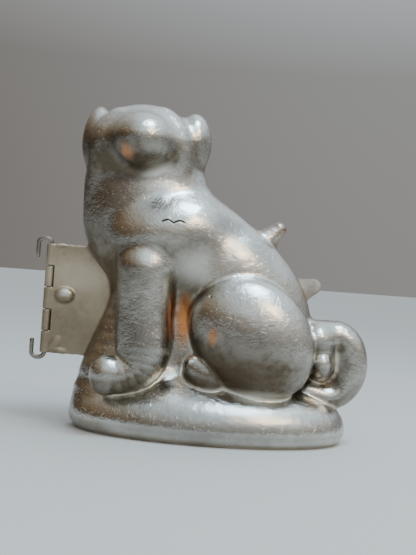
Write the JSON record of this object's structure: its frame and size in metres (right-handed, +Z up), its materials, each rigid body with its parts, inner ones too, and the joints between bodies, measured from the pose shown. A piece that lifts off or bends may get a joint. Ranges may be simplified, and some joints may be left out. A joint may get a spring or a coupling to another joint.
{
  "type": "ice cream mould",
  "caption": "Hinged pewter mould that shuts around ice cream and shapes it as a seated dog with its head turned.",
  "frame": {"origin": "middle of the closed mould's box, at the height of the flat base that it stands on", "axes": "+X from the hinge towards the tail, +Y from the near half towards the far half, across the parting plane, +Z up"},
  "size_m": [0.1133, 0.0525, 0.1082],
  "materials": {
    "cast_pewter": "cast pewter, worn to a soft grey shine, with fine pits and scratches",
    "leaf_pewter": "flat cast pewter, dull and rough, with a brown tarnish",
    "steel_wire": "dull drawn steel wire, darkened with age"
  },
  "bodies": {
    "far_half": {"far_shell": "cast_pewter", "far_hinge_leaf": "leaf_pewter"},
    "near_half": {"near_shell": "cast_pewter", "near_hinge_leaf": "leaf_pewter"},
    "pin": {"hinge_pin": "steel_wire"}
  },
  "joints": [
    {"name": "mould_hinge", "type": "hinge", "parent": "far_half", "child": "near_half", "pos_m": [-0.0521, 0, 0.0415], "axis": [0, 0, -1], "range_deg": [0, 260]},
    {"name": "pin_turn", "type": "hinge", "parent": "far_half", "child": "pin", "pos_m": [-0.0521, 0, 0.0415], "axis": [0, 0, -1], "range_deg": [0, 130]}
  ],
  "couplings": [
    {"joint": "pin_turn", "follows": "mould_hinge", "ratio": 0.5}
  ]
}
